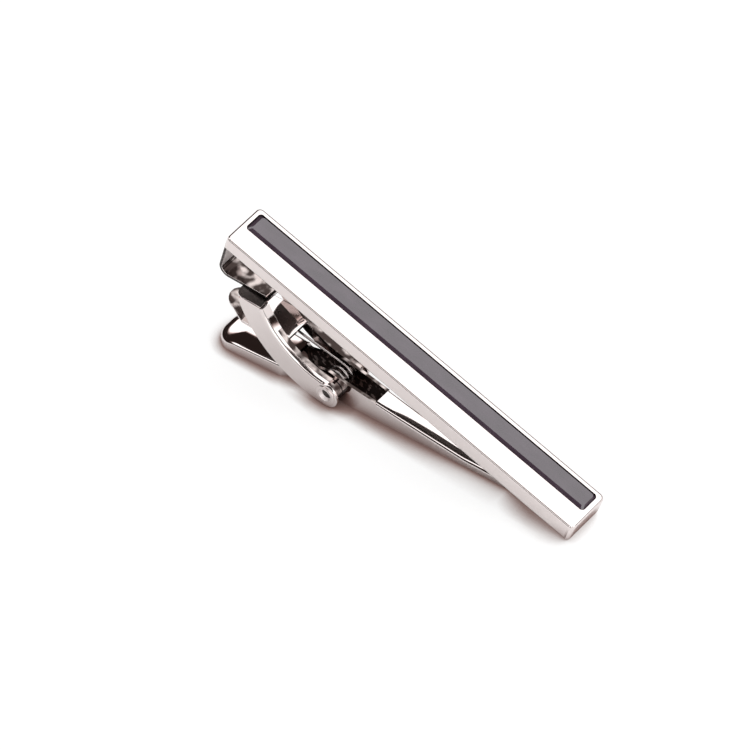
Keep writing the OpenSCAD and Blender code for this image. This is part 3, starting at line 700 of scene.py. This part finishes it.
def jaw_height(x):
    """The jaw's top, with its corners eased as the press leaves them."""
    return sum(along(height_at, min(max(x + d, tail_end), tip)) for d in (-0.5, -0.25, 0, 0.25, 0.5)) / 5


def jaw_half(x):
    """Half the jaw's width, round at the corners of the tail."""
    if x < tail_end + tail_corner:
        return tail_half - tail_corner + math.sqrt(max(0, tail_corner ** 2 - (tail_end + tail_corner - x) ** 2))
    return sum(along(half_at, x + d) for d in (-0.3, 0, 0.3)) / 3 if x < ear_end else along(half_at, x)


def rim_radius(x):
    """How roundly the jaw's top rolls over into its walls."""
    if heel + past_heel < x < window_end + hair:
        return 0.0
    return tail_rim if x < heel else beak_rim


def from_outline(x, y):
    """How far a point of the jaw's top lies inside its outline, seen from above."""
    centre_x, centre_y = tail_end + tail_corner, tail_half - tail_corner
    if x >= centre_x:
        return jaw_half(x) - abs(y)
    return tail_corner - math.hypot(x - centre_x, max(0.0, abs(y) - centre_y)) if abs(y) > centre_y else x - tail_end


stations = [tail_end + tail_corner * (1 - math.cos(math.radians(a))) for a in range(0, 90, 5)]
stations += [tail_end + tail_corner + (heel + past_heel - tail_end - tail_corner) * i / 22 for i in range(23)]
stations += [heel + 0.3 * i for i in range(1, 7)]
stations += [ear_start + past_ear + (window_end - ear_start - past_ear) * i / 28 for i in range(29)]
stations += [window_end + past_window]
stations += [window_end + (beak_flat + past_bend - window_end) * i / 24 for i in range(1, 25)]
stations += [beak_flat + past_bend + (tip - beak_flat - past_bend) * i / 12 for i in range(1, 13)]
last, rows = len(stations) - 1, 30
bpy.ops.mesh.primitive_grid_add(x_subdivisions=last, y_subdivisions=rows, size=1)
jaw = bpy.context.active_object
for vert in jaw.data.vertices:
    x = stations[round((vert.co.x + 0.5) * last)]
    y = jaw_half(x) * math.sin(math.pi * vert.co.y)
    radius, inside_by = rim_radius(x), from_outline(x, y)
    rolled = radius - math.sqrt(max(0.0, radius ** 2 - (radius - inside_by) ** 2)) if inside_by < radius else 0.0
    rolled += (slope_drop * max(0.0, 1 - (x - tail_end) / slope_length) *
               max(0.0, 1 - inside_by / slope_width) ** slope_power)
    sunk = tray_depth * min(1.0, max(0.0, (heel - 0.5 - x) / tray_run))
    reach = max(0.0, min(1.0, (inside_by - radius) / (tail_half - radius)))
    across, beyond = abs(y / jaw_half(x)), max(0.0, x - window_end)
    crown = sum(drop * min(1.0, beyond / run) * across ** power
                for drop, run, power in zip(crown_drops, crown_runs, crown_powers))
    vert.co = (x, y, jaw_height(x) - rolled - crown - sunk * (1 - (1 - reach) ** tray_power))
window_start = min(stations, key=lambda x: abs(x - heel - 0.3))
bpy.ops.object.mode_set(mode="EDIT")
choose("EDGE", lambda c, e: len(e.link_faces) == 1)
bpy.ops.mesh.extrude_region_move(TRANSFORM_OT_translate={"value": (0, 0, -1)})
bpy.ops.transform.resize(value=(1, 1, 0), center_override=(0, 0, 0))
choose("FACE", lambda c, f: abs(f.normal.z) > 0.5 and window_start < c.x < window_end)
bpy.ops.mesh.delete(type="ONLY_FACE")
choose("VERT", lambda c, v: not v.link_faces)
bpy.ops.mesh.delete(type="VERT")
choose("EDGE", lambda c, e: not e.link_faces)
bpy.ops.mesh.delete(type="EDGE")
bpy.ops.object.mode_set(mode="OBJECT")
wall = jaw.modifiers.new("wall", "SOLIDIFY")
wall.thickness, wall.offset, wall.use_even_offset = jaw_sheet, -1, True
bpy.ops.object.modifier_apply(modifier="wall")
combine(jaw, [pin(jaw_hole, -2.4, 2.4)], "DIFFERENCE")
# Painted shade on the undersides and the inner sides of the walls, patchy painted shade on the tops in the window,
# and speckled painted shade on the far wall's inner side there.
plate_piece(jaw, shaded=lambda c, n: (n.z < -0.3 and c.z > 0.1) or (n.y * c.y < 0 and abs(n.y) > 0.5),
            patch_shaded=lambda c, n: abs(n.y) < 0.3 and n.z > 0.7 and window_start < c.x < window_end,
            speckle_shaded=lambda c, n: n.y < -0.5 and c.y > 0 and window_start < c.x < window_end)
polish(jaw)
place(jaw, "jaw", "jaw", "clip_jaw")

# The rivet: a soft steel pin through both eyes and both ears, its far head flat and its near end spread
# with a punch that leaves a coned dish, satin on its wall, with painted shade darkening its floor.
pin_radius, washer_radius, head_radius, head_edge, head_sunk = 0.6, 1.1, 1.5, 0.045, 0.02
dish_radius, dish_floor, dish_depth, dish_proud = 1.0, 0.72, 0.46, 0.003
rivet = pin(pin_radius, -clasp_half, clasp_half)
combine(rivet, [pin(head_radius, -bar_width / 2, -clasp_half + head_sunk, head_edge),
                pin(washer_radius, -clasp_half, -clasp_half + sheet),
                pin(head_radius, clasp_half - head_sunk, bar_width / 2, head_edge)])
bpy.ops.mesh.primitive_cone_add(vertices=64, radius1=dish_floor, radius2=dish_radius, depth=dish_depth,
                                location=(pivot.x, -bar_width / 2 + dish_depth / 2 - dish_proud, pivot.z),
                                rotation=(math.pi / 2, 0, 0))
punch = bpy.context.active_object
bpy.ops.object.transform_apply(location=True, rotation=True, scale=True)
combine(rivet, [punch], "DIFFERENCE")
plate_piece(rivet, shaded=lambda c, n: n.y < -0.9 and -bar_width / 2 + 0.3 < c.y < 0 and
            math.hypot(c.x - pivot.x, c.z - pivot.z) < dish_floor,
            soldered=lambda c, n: c.y < -bar_width / 2 + dish_depth and
            n.dot(Vector((pivot.x, c.y, pivot.z)) - c) > 0.1)
polish(rivet)
place(rivet, "rivet", "clip", "pivot_rivet")

# The spring: hard steel wire wound loosely round the rivet, one leg pressing up on the finger tab and the
# other down on the tail. It is left bright from drawing, a shade darker than the plating.
wire, coil_radius, coil_turns, coil_pitch = 0.36, 1.45, 2, 0.78
coil_centre = pivot + Vector((-0.28, 0, 0.32))
lower_x, upper_x, clearance = pivot.x - 7.9, pivot.x - 9.6, 0.03
leg_bend = 0.3
stub = wire + leg_bend
lower = Vector((lower_x, 0, along(height_at, lower_x) + clearance))
upper = Vector((upper_x, 0, tab_top - sheet - clearance))
lower_knee = lower + Vector((0, 0, stub)) - coil_centre
upper_knee = upper - Vector((0, 0, stub)) - coil_centre
lower_rise = math.atan(lower_knee.z / -lower_knee.x) + math.asin(coil_radius / lower_knee.length)
upper_rise = math.atan(upper_knee.z / -upper_knee.x) - math.asin(coil_radius / upper_knee.length)
coil_from = math.radians(270) - lower_rise
coil_to = math.radians(360 * (coil_turns + 1) + 90) - upper_rise
coil_half = coil_pitch * (coil_to - coil_from) / (2 * math.pi) / 2
rings = 96
route = [lower + Vector((0, -coil_half, 0))]
coil = []
for i in range(rings + 1):
    a = coil_from + (coil_to - coil_from) * i / rings
    coil.append(coil_centre + Vector((coil_radius * math.cos(a), -coil_half + 2 * coil_half * i / rings,
                                      coil_radius * math.sin(a))))


def rounded(before, corner, after, steps=6):
    """Points of a soft bend in the wire at a corner."""
    a = corner + leg_bend * (before - corner).normalized()
    b = corner + leg_bend * (after - corner).normalized()
    return [(1 - t) ** 2 * a + 2 * t * (1 - t) * corner + t * t * b for t in (i / steps for i in range(steps + 1))]


lower_corner = lower + Vector((0, -coil_half, stub))
upper_corner = upper + Vector((0, coil_half, -stub))
route += rounded(route[0], lower_corner, coil[0]) + coil
route += rounded(coil[-1], upper_corner, upper + Vector((0, coil_half, 0))) + [upper + Vector((0, coil_half, 0))]
line = bpy.data.curves.new("spring", "CURVE")
line.dimensions = "3D"
line.bevel_depth, line.bevel_resolution, line.use_fill_caps = wire / 2, 3, True
strand = line.splines.new("POLY")
strand.points.add(len(route) - 1)
for point, spot in zip(strand.points, route):
    point.co = (*spot, 1)
spring = bpy.data.objects.new("spring", line)
bpy.context.scene.collection.objects.link(spring)
take_up(spring)
bpy.ops.object.convert(target="MESH")
drawn = metal("spring_wire", light=(0.62, 0.57, 0.56), dull=(0.50, 0.45, 0.44), smooth=0.14, rough=0.26,
              depth=0.0002, fineness=0.7)
spring.data.materials.clear()
spring.data.materials.append(drawn)
bpy.ops.object.shade_smooth_by_angle(angle=math.radians(50))
place(spring, "spring", "clip", "torsion_spring")
